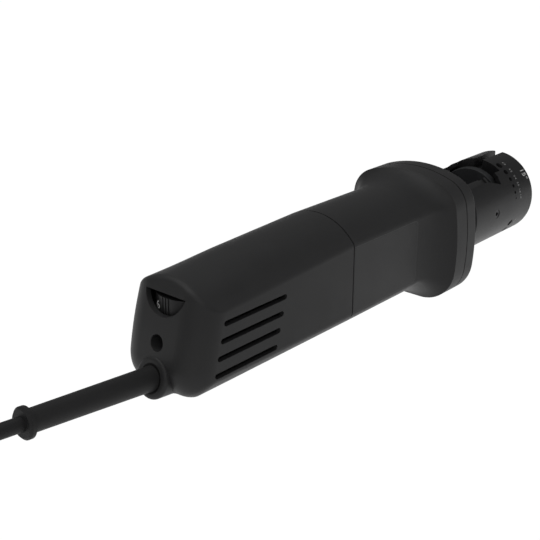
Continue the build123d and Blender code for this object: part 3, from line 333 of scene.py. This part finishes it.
def banded(roles, direction, pitch, relief):
    """Adds parallel lines a pitch apart, such as turning marks or stacked sheets, as a second bump."""
    bands = roles["nodes"].new("ShaderNodeTexWave")
    bands.bands_direction = direction
    bands.inputs["Scale"].default_value = WAVE_LENGTH / (pitch * MM)
    bands.inputs["Distortion"].default_value = BAND_WANDER
    bands.inputs["Detail"].default_value = BAND_DETAIL
    roles["links"].new(roles["where"].outputs["Object"], bands.inputs["Vector"])
    lines = roles["nodes"].new("ShaderNodeBump")
    lines.inputs["Distance"].default_value = relief * MM
    roles["links"].new(bands.outputs["Fac"], lines.inputs["Height"])
    roles["links"].new(roles["bump"].outputs["Normal"], lines.inputs["Normal"])
    roles["links"].new(lines.outputs["Normal"], roles["shader"].inputs["Normal"])


# %% [markdown]
# The barrel, its cover and the switch pad are moulded from one black plastic with a very fine texture that
# scatters reflections. The front plate is a cast part painted to match. The head is turned metal, anodised
# black, so it has a sharper sheen and faint rings from the lathe. Cord and sleeve are soft black rubber.

# %% Finishes
finishes = {}
finishes["body_plastic"], _ = surface("moulded_black_plastic", (0.026, 0.026, 0.0265), 0.5, grain=0.3)
finishes["dial_plastic"], _ = surface("dial_black_plastic", (0.02, 0.02, 0.0205), 0.42, grain=0.25)
finishes["plate_metal"], _ = surface("painted_front_plate", (0.026, 0.026, 0.0265), 0.48, grain=0.4)
finishes["inner_plastic"], _ = surface("inner_moulding", (0.02, 0.02, 0.021), 0.6, grain=0.5)
finishes["rubber"], _ = surface("sleeve_rubber", (0.02, 0.02, 0.0205), 0.58, grain=0.5, relief=0.03)
finishes["cord_rubber"], _ = surface("cord_rubber", (0.018, 0.018, 0.0185), 0.55, grain=0.6, relief=0.03)
finishes["carbon"], _ = surface("pressed_carbon", (0.02, 0.02, 0.021), 0.7, grain=0.2, relief=0.04)

finishes["head_metal"], head_roles = surface(
    "anodised_head", (0.014, 0.014, 0.0147), 0.4, metallic=0.1, grain=0.2
)
banded(head_roles, "X", pitch=0.35, relief=0.004)
finishes["steel"], steel_roles = surface("turned_steel", (0.42, 0.42, 0.43), 0.3, metallic=1.0, grain=0.3)
banded(steel_roles, "X", pitch=0.3, relief=0.006)
finishes["dark_steel"], _ = surface("blackened_steel", (0.03, 0.03, 0.032), 0.32, metallic=0.8, grain=0.3)
finishes["laminations"], sheet_roles = surface("stacked_sheet_steel", (0.22, 0.22, 0.23), 0.45, metallic=1.0)
banded(sheet_roles, "X", pitch=0.5, relief=0.03)
finishes["copper"], wire_roles = surface(
    "enamelled_copper", (0.4, 0.15, 0.06), 0.35, metallic=0.9, grain=0.6
)
banded(wire_roles, "DIAGONAL", pitch=0.6, relief=0.05)
finishes["brass"], _ = surface("stamped_brass", (0.6, 0.45, 0.2), 0.32, metallic=1.0, grain=0.5)
finishes["diamond"], _ = surface(
    "diamond_bond", (0.035, 0.036, 0.038), 0.62, metallic=0.4, grain=0.12, relief=0.06, tint_shift=0.5
)

slot_of_node = {part["node"]: part["material_slot"] for part in frame["record"]["subparts"]}
for name, node in nodes.items():
    node.data.materials.clear()
    node.data.materials.append(finishes[slot_of_node[name]])
mains_lead.data.materials.append(finishes["cord_rubber"])
print("finishes", len(finishes))

# %% [markdown]
# The cover's heel, where its underside meets the rear face, is rounded far more than its other edges. The
# solid has a smaller edge there, so the cover's mesh is copied and its heel is pushed forward: most at the
# underside, not at all a heel's height above it, along a quarter ellipse between. Long flat faces would bend
# in one crease, so level cuts are made through the copy first. The boss round the lead's sleeve keeps its
# place, and only the line where it meets the cover slides along it. The cover's top is let down in the same
# way, by a little that grows towards the rear. The solid's exact normals are kept at each corner and turned
# with the surface, because normals worked out from long thin faces leave smudges.

# %% Rear face and sleeve boss
TOOL_REAR = -141.5 * MM
REAR_SET = 6.9 * MM
REAR_SLANT = radians(16)
BOW_RADIUS = 160 * MM
BOW_HEIGHT = 7 * MM
GLAND_RADIUS = 9 * MM
GLAND_DROP = 16.6 * MM
SLEEVE_RISE = radians(5.7)
TOUCH = 0.1 * MM
WELD = 0.001 * MM


def rear_station(height):
    """Station of the slanted rear face at a height above the axis."""
    return TOOL_REAR + REAR_SET + height * tan(REAR_SLANT)


bow_x = rear_station(BOW_HEIGHT) + BOW_RADIUS * cos(REAR_SLANT)
bow_z = AXIS_Z + BOW_HEIGHT - BOW_RADIUS * sin(REAR_SLANT)
gland_mouth = Vector((rear_station(-GLAND_DROP), 0, AXIS_Z - GLAND_DROP))
gland_inward = Vector((cos(SLEEVE_RISE), 0, -sin(SLEEVE_RISE)))


def off_sleeve(place):
    """Distance of a point from the sleeve's axis."""
    offset = place - gland_mouth
    return (offset - offset.dot(gland_inward) * gland_inward).length


def on_boss(place):
    """Whether a point belongs to the sleeve's boss: inside its wall, or proud of the bowed rear face."""
    proud = hypot(place.x - bow_x, place.z - bow_z) > BOW_RADIUS + TOUCH
    return off_sleeve(place) < GLAND_RADIUS + (TOUCH if proud else -TOUCH)


print("sleeve leaves at", [round(part / MM, 1) for part in gland_mouth])

# %% Rounder heel and lower top of the rear cover
BARREL_RADIUS = 29 * MM
COVER_WALL = 2.5 * MM
UNDERSIDE = AXIS_Z - BARREL_RADIUS
HEEL_HEIGHT = 19 * MM
HEEL_LENGTH = 20 * MM
HEEL_HOLD = 14 * MM
HEEL_FADE = 22 * MM
HEEL_CUTS = 24
RIB_REAR = TOOL_REAR + 19 * MM
RIB_FRONT = TOOL_REAR + 30 * MM
RIB_HALF = 12.1 * MM
BROW_FRONT = -85 * MM
BROW_LENGTH = 35 * MM
BROW_FOOT = 51 * MM
BROW_HEIGHT = AXIS_Z + BARREL_RADIUS - BROW_FOOT
BROW_DROP = 1.6 * MM
BROW_CUTS = 10
BROW_LEVELS = 4
SLOPE_STEP = 0.05 * MM
LEVEL = (0, 0, 1)
ACROSS = (1, 0, 0)


def heel_push(place):
    """How far forward a point of the heel moves: a quarter ellipse by height, fading out along the cover."""
    drop = min(max((UNDERSIDE + HEEL_HEIGHT - place.z) / HEEL_HEIGHT, 0), 1)
    fade = (TOOL_REAR + HEEL_HOLD + HEEL_FADE - place.x) / HEEL_FADE
    return HEEL_LENGTH * (1 - sqrt(1 - drop**2)) * min(max(fade, 0), 1)


def on_rib(place):
    """Whether a point belongs to the rib inside the cover that holds the lead's clamp."""
    inside = hypot(place.y, place.z - AXIS_Z) < BARREL_RADIUS - COVER_WALL / 2
    return inside and RIB_REAR < place.x < RIB_FRONT and abs(place.y) < RIB_HALF


def eased(share):
    """A share from 0 to 1 that starts and ends gently."""
    share = min(max(share, 0), 1)
    return share * share * (3 - 2 * share)


def brow_drop(place):
    """How far a point of the cover's top comes down: nothing at its front, most at its rear edge."""
    along = eased((BROW_FRONT - place.x) / BROW_LENGTH)
    return BROW_DROP * along * eased((place.z - BROW_FOOT) / BROW_HEIGHT)


def slope_of(amount, place):
    """How fast an amount changes along the tool and upwards, at a point of the cover."""
    ahead = Vector((SLOPE_STEP, 0, 0))
    above = Vector((0, 0, SLOPE_STEP))
    along = amount(place + ahead) - amount(place - ahead)
    upwards = amount(place + above) - amount(place - above)
    return Vector((along, 0, upwards)) / (2 * SLOPE_STEP)


def shift(vertex, exact, amount, direction):
    """Moves a point of the cover by an amount, and turns the normals kept at its corners to suit."""
    slope = slope_of(amount, vertex.co)
    for corner in vertex.link_loops:
        turn = direction.dot(corner[exact]) / (1 + direction.dot(slope))
        corner[exact] = (corner[exact] - turn * slope).normalized()
    vertex.co += amount(vertex.co) * direction


def heel_direction(place):
    """The heel moves forward, and the foot of the sleeve's boss moves along the sleeve."""
    along_boss = off_sleeve(place) < GLAND_RADIUS + TOUCH
    return gland_inward if along_boss else Vector(ACROSS)


def cut_through(shape, place, normal, foot=0):
    """Cuts the faces that reach above a height, along a plane through a place."""
    faces = [face for face in shape.faces if max(end.co.z for end in face.verts) > foot]
    parts = dict.fromkeys(part for face in faces for part in (*face.verts, *face.edges))
    bmesh.ops.bisect_plane(shape, geom=[*parts, *faces], plane_co=place, plane_no=normal, dist=WELD)


cad_cover = nodes["rear_cover"].data
shell = bmesh.new()
shell.from_mesh(cad_cover)
exact = shell.loops.layers.float_vector.new("exact_normal")
for face, polygon in zip(shell.faces, cad_cover.polygons):
    for corner, number in zip(face.loops, polygon.loop_indices):
        corner[exact] = cad_cover.corner_normals[number].vector
bmesh.ops.remove_doubles(shell, verts=shell.verts, dist=WELD)
for step in range(1, HEEL_CUTS + 1):
    cut_through(shell, (0, 0, UNDERSIDE + HEEL_HEIGHT * step / HEEL_CUTS), LEVEL)
for reach in (HEEL_HOLD, HEEL_HOLD + HEEL_FADE):
    cut_through(shell, (TOOL_REAR + reach, 0, 0), ACROSS)
for step in range(BROW_LEVELS):
    cut_through(shell, (0, 0, BROW_FOOT + BROW_HEIGHT * step / BROW_LEVELS), LEVEL)
for step in range(BROW_CUTS + 1):
    cut_through(shell, (BROW_FRONT - BROW_LENGTH * step / BROW_CUTS, 0, 0), ACROSS, BROW_FOOT)
for vertex in shell.verts:
    if brow_drop(vertex.co) > 0:
        shift(vertex, exact, brow_drop, -Vector(LEVEL))
    elif heel_push(vertex.co) > 0 and not on_boss(vertex.co) and not on_rib(vertex.co):
        shift(vertex, exact, heel_push, heel_direction(vertex.co))
cover_mesh = bpy.data.meshes.new("rounded_rear_cover")
shell.to_mesh(cover_mesh)
shell.free()
cover_mesh.shade_smooth()
kept_normals = [tuple(corner.vector) for corner in cover_mesh.attributes["exact_normal"].data]
cover_mesh.attributes.remove(cover_mesh.attributes["exact_normal"])
cover_mesh.normals_split_custom_set(kept_normals)
rounded_cover = link_object("rounded_rear_cover", cover_mesh, finishes["body_plastic"])
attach(rounded_cover, "housing")
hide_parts("rear_cover")
print("cover faces", len(cover_mesh.polygons))

# %% [markdown]
# Small things sit by the rear face. Where the sleeve leaves its boss, the shade in the narrow gap round it
# is painted: a flat near-black ring lies on the boss, stretched upwards as the slanted face stretches a
# round hole. Inside, on each side between the dial and the vents, a dark bent sheet stands in for the shade
# inside the cover, so that the vents show no light past the dial. Its section is an L with the sheet's
# thickness, pulled out along the tool.

# %% Closed sheets from outlines
def joined_loops(loops, closed):
    """A closed mesh over loops of points: walls between neighbours, and end faces or a full ring."""
    shape = bmesh.new()
    rows = [[shape.verts.new(place) for place in loop] for loop in loops]
    pairs = list(zip(rows, rows[1:]))
    if closed:
        pairs.append((rows[-1], rows[0]))
    else:
        shape.faces.new(rows[0])
        shape.faces.new(rows[-1])
    for first, second in pairs:
        count = len(first)
        for number in range(count):
            after = (number + 1) % count
            shape.faces.new((first[number], first[after], second[after], second[number]))
    bmesh.ops.recalc_face_normals(shape, faces=shape.faces)
    return shape


def small_piece(name, shape, finish):
    """Makes a shape a piece that rides on the housing."""
    mesh = bpy.data.meshes.new(name)
    shape.to_mesh(mesh)
    shape.free()
    piece = link_object(name, mesh, finish)
    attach(piece, "housing")


# %% Painted shade round the sleeve
HOLE_INNER = 5.2 * MM
HOLE_OUTER = 6.1 * MM
HOLE_LIFT = 0.05 * MM
HOLE_STEPS = 48
face_up = Vector((sin(REAR_SLANT), 0, cos(REAR_SLANT)))
face_out = Vector((-cos(REAR_SLANT), 0, sin(REAR_SLANT)))
stretch = 1 / cos(REAR_SLANT + SLEEVE_RISE)


def hole_loop(radius, lift):
    """Points round the sleeve on the boss's face, lifted off it."""
    points = []
    for step in range(HOLE_STEPS):
        angle = 2 * pi * step / HOLE_STEPS
        across = Vector((0, radius * cos(angle), 0))
        points.append(gland_mouth + across + radius * stretch * sin(angle) * face_up + lift * face_out)
    return points


# Painted shade: a near-black ring, lifted a hair off the boss, stands in for the dark gap between sleeve and
# boss.
shade_finish, _ = surface("hole_shade", (0.002, 0.002, 0.002), 0.8, grain=0.4)
section = ((HOLE_INNER, 0), (HOLE_OUTER, 0), (HOLE_OUTER, HOLE_LIFT), (HOLE_INNER, HOLE_LIFT))
ring = joined_loops([hole_loop(radius, lift) for radius, lift in section], closed=True)
small_piece("sleeve_gap_painted_shade", ring, shade_finish)
print("hole line", round((HOLE_OUTER - HOLE_INNER) / MM, 2), "mm wide")

# %% Dark sheets beside the dial, standing in for shade
SHEET = 0.4 * MM
SHEET_FOOT = 5 * MM
SHEET_GAP = 1 * MM
SHEET_UNDER = 0.6 * MM
SHEET_REAR = -125.5 * MM
SHEET_FRONT = -106 * MM

dial_low, dial_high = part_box("speed_dial")
sheet_side = dial_high[1] + SHEET_GAP
sheet_top = dial_high[2] + SHEET_GAP
sheet_base = dial_low[2] - SHEET_UNDER
sheet_outline = [
    (sheet_side - SHEET_FOOT, sheet_base),
    (sheet_side + SHEET, sheet_base),
    (sheet_side + SHEET, sheet_top),
    (sheet_side, sheet_top),
    (sheet_side, sheet_base + SHEET),
    (sheet_side - SHEET_FOOT, sheet_base + SHEET),
]
# Each sheet is a dark stand-in for the shade inside the cover, so that no light shows through the vents past
# the dial.
for name, sign in (("dial_insulation_left", 1), ("dial_insulation_right", -1)):
    outline = [(sign * side, height) for side, height in sheet_outline]
    ends = [[(x, *corner) for corner in outline] for x in (SHEET_REAR, SHEET_FRONT)]
    small_piece(name, joined_loops(ends, closed=False), finishes["inner_plastic"])
print("insulation", round((SHEET_FRONT - SHEET_REAR) / MM, 1), "mm long")

# %% [markdown]
# The numbers are printed in white, the small hole sizes more thinly. Lettering on a drum is easiest as flat
# text that is turned into a mesh and then bent: the distance along the line of text becomes an angle, the
# height of the letters runs along the axis, and the thickness of the ink goes outwards. The text is cut
# into triangles first, so that it can follow the curve.

# %% Printed numbers
INK = 0.03 * MM
CAPITAL_SHARE = 0.7
LETTER_STEPS = 3
INK_RELIEF = 0.005
INK_WELD = INK / 100
finishes["ink"], _ = surface(
    "white_print", (0.72, 0.72, 0.71), 0.5, grain=0.3, relief=INK_RELIEF, tint_shift=0.05
)
finishes["thin_ink"], _ = surface(
    "thin_print", (0.4, 0.4, 0.4), 0.5, grain=0.3, relief=INK_RELIEF, tint_shift=0.3
)


def flat_letters(words, height):
    """A closed mesh of the words, centred, with letters of that height and the ink's thickness."""
    curve = bpy.data.curves.new("letters", "FONT")
    curve.body = words
    curve.size = height / CAPITAL_SHARE
    curve.align_x = "CENTER"
    curve.align_y = "CENTER"
    curve.extrude = INK / 2
    curve.resolution_u = LETTER_STEPS
    holder = bpy.data.objects.new("letters", curve)
    mesh = bpy.data.meshes.new_from_object(holder)
    shape = bmesh.new()
    shape.from_mesh(mesh)
    bmesh.ops.remove_doubles(shape, verts=shape.verts, dist=INK_WELD)
    bmesh.ops.triangulate(shape, faces=shape.faces)
    bpy.data.objects.remove(holder)
    bpy.data.curves.remove(curve)
    bpy.data.meshes.remove(mesh)
    return shape


def add_letters(sheet, words, height, bend):
    """Bends the words with the function bend and adds them to the sheet of print."""
    shape = flat_letters(words, height)
    for vertex in shape.verts:
        vertex.co = bend(vertex.co)
    bent = bpy.data.meshes.new("bent")
    shape.to_mesh(bent)
    shape.free()
    sheet.from_mesh(bent)
    bpy.data.meshes.remove(bent)


def printed(name, sheet, body, ink="ink"):
    """Makes a sheet of print a piece that rides on a body."""
    mesh = bpy.data.meshes.new(name)
    bmesh.ops.recalc_face_normals(sheet, faces=sheet.faces)
    sheet.to_mesh(mesh)
    sheet.free()
    piece = link_object(name, mesh, finishes[ink])
    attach(piece, body)


# %% Guide marks on the head
HEAD_RADIUS = 24 * MM
HEAD_FRONT = 141.5 * MM
GUIDE_SIZES = (4.0, 3.2, 2.4, 2.0, 1.6, 1.0)
GUIDE_ROWS = ("15", "18", "22.5", "30")
GUIDE_FIRST = 27.7
GUIDE_STEP = 5.3
GUIDE_STEP_PER_SIZE = 2.2
ROW_TURN = 90
SIZE_MARK_STATION = HEAD_FRONT - 14.2 * MM
SIZE_MARK_HEIGHT = 1.5 * MM
ANGLE_MARK_STATION = HEAD_FRONT - 4.3 * MM
ANGLE_MARK_HEIGHT = 3.6 * MM
ANGLE_MARK_TURN = 53.0


def on_head(station, turn):
    """Bends flat letters round the head: their line runs round it, turn degrees from the top."""
    def bend(flat):
        angle = radians(turn) + flat.x / HEAD_RADIUS
        reach = HEAD_RADIUS + INK / 2 + flat.z
        return Vector((station + flat.y, -reach * sin(angle), AXIS_Z + reach * cos(angle)))
    return bend


angle_marks = bmesh.new()
size_marks = bmesh.new()
for row, words in enumerate(GUIDE_ROWS):
    turn = GUIDE_FIRST + ROW_TURN * row
    for number, bore in enumerate(GUIDE_SIZES):
        if number:
            turn += GUIDE_STEP + GUIDE_STEP_PER_SIZE * (bore + GUIDE_SIZES[number - 1]) / 2
        add_letters(size_marks, f"{bore:.1f}", SIZE_MARK_HEIGHT, on_head(SIZE_MARK_STATION, turn))
    angle_turn = ANGLE_MARK_TURN + ROW_TURN * row
    add_letters(angle_marks, words + "\u00b0", ANGLE_MARK_HEIGHT, on_head(ANGLE_MARK_STATION, angle_turn))
printed("head_angle_marks", angle_marks, "housing")
printed("head_size_marks", size_marks, "housing", "thin_ink")
print("rows of guide marks", len(GUIDE_ROWS))

# %% Numbers on the dial
DIAL_CENTRE = (Vector(dial_low) + Vector(dial_high)) / 2
DIAL_RADIUS = 15 * MM
DIAL_NUMBERS = 6
DIAL_NUMBER_STEP = 45.0
LAST_NUMBER_TURN = 22.1
NUMBER_HEIGHT = 3.6 * MM
NUMBER_DROP = 0.7 * MM
NUMBER_STRETCH = 1.5


def on_dial(turn):
    """Bends upright letters round the dial, turn degrees from the window's middle to the tool's left."""
    def bend(flat):
        angle = radians(turn) - NUMBER_STRETCH * flat.x / DIAL_RADIUS
        reach = DIAL_RADIUS + INK / 2 + flat.z
        return DIAL_CENTRE + Vector((-reach * cos(angle), reach * sin(angle), flat.y - NUMBER_DROP))
    return bend


numbers = bmesh.new()
for number in range(1, DIAL_NUMBERS + 1):
    turn = LAST_NUMBER_TURN + (DIAL_NUMBERS - number) * DIAL_NUMBER_STEP
    add_letters(numbers, str(number), NUMBER_HEIGHT, on_dial(turn))
printed("dial_numbers", numbers, "dial")
print("dial numbers", DIAL_NUMBERS)

# %% [markdown]
# The right flat of the barrel carries a bare film. A sheet this thin would be a weak solid, so it is made
# here, from its outline: two loops of points a hair apart, with rounded corners at the front end. A second
# sheet under it, a little larger, shows as a narrow pale line round its edge.

# %% Bare film on the right flat
FLAT_SIDE = -23 * MM
FILM_REAR = -31 * MM
FILM_FRONT = 21.4 * MM
FILM_HALF_HEIGHT = 16.6 * MM
FILM_CORNER = 3 * MM
FILM_LINE = 0.25 * MM
CORNER_STEPS = 6
QUARTER = 90


def film_outline(inset):
    """Points of the film's outline, along and above the barrel's axis, drawn in by inset."""
    rear = FILM_REAR + inset
    centre = FILM_FRONT - FILM_CORNER
    high = FILM_HALF_HEIGHT - FILM_CORNER
    reach = FILM_CORNER - inset
    points = [(rear, FILM_HALF_HEIGHT - inset), (rear, inset - FILM_HALF_HEIGHT)]
    for sign, first in ((-1, -QUARTER), (1, 0)):
        for step in range(CORNER_STEPS + 1):
            angle = radians(first + QUARTER * step / CORNER_STEPS)
            points.append((centre + reach * cos(angle), sign * high + reach * sin(angle)))
    return points


def film(name, outline, lift, finish):
    """A closed thin sheet of an outline on the right flat, lifted off it."""
    loops = []
    for side in (FLAT_SIDE - lift, FLAT_SIDE - lift - INK):
        loops.append([(x, side, AXIS_Z + height) for x, height in outline])
    small_piece(name, joined_loops(loops, closed=False), finish)


line_finish, _ = surface("film_edge_line", (0.05, 0.05, 0.051), 0.4, grain=0.3, relief=INK_RELIEF)
film_finish, _ = surface("bare_film", (0.0265, 0.0265, 0.027), 0.45, grain=0.4, relief=0.01)
film("film_edge_line", film_outline(inset=0), lift=0, finish=line_finish)
film("bare_film", film_outline(inset=FILM_LINE), lift=INK, finish=film_finish)
print("film", round((FILM_FRONT - FILM_REAR) / MM, 1), "mm long")
